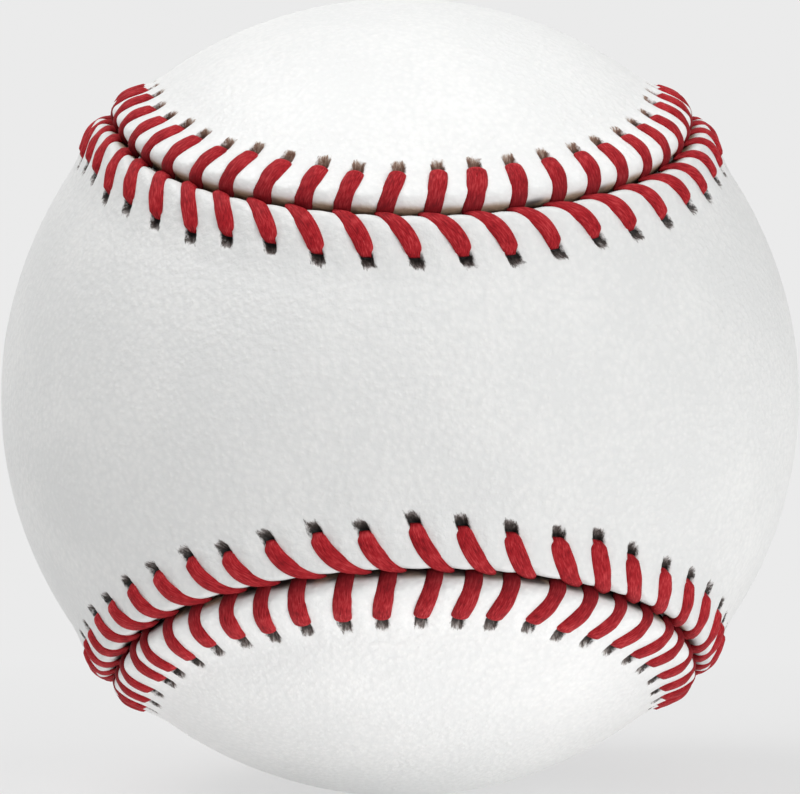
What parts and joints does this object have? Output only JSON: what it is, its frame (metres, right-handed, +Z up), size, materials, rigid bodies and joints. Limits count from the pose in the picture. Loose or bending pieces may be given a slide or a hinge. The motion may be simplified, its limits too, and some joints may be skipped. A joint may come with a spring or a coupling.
{
  "type": "baseball",
  "caption": "Stitched leather ball: two figure-eight panels sewn with red thread over yarn windings and a cushioned cork centre, for throwing and batting.",
  "frame": {"origin": "the middle of the ball", "axes": "+Z up, +X right; the waist of the front panel faces -Y and its two lobes lie at -X and +X, and the rear panel's lobes lie at the top and the bottom"},
  "size_m": [0.0742, 0.0742, 0.0742],
  "materials": {
    "cork": "cork and rubber composition, speckled",
    "black_rubber": "matte moulded rubber",
    "red_rubber": "matte moulded rubber",
    "grey_wool": "wound wool yarn",
    "white_wool": "wound wool yarn",
    "white_cotton": "fine wound cotton and polyester yarn",
    "white_leather": "white tanned cowhide with a fine pebbled grain",
    "red_thread": "waxed red cotton thread"
  },
  "bodies": {
    "root": {"cork_core": "cork", "upper_rubber_shell": "black_rubber", "lower_rubber_shell": "black_rubber", "rubber_gasket": "red_rubber", "red_rubber_layer": "red_rubber", "first_wool_winding": "grey_wool", "second_wool_winding": "white_wool", "third_wool_winding": "grey_wool", "cotton_winding": "white_cotton", "front_leather_panel": "white_leather", "rear_leather_panel": "white_leather", "first_stitch_thread": "red_thread", "second_stitch_thread": "red_thread"}
  },
  "joints": []
}
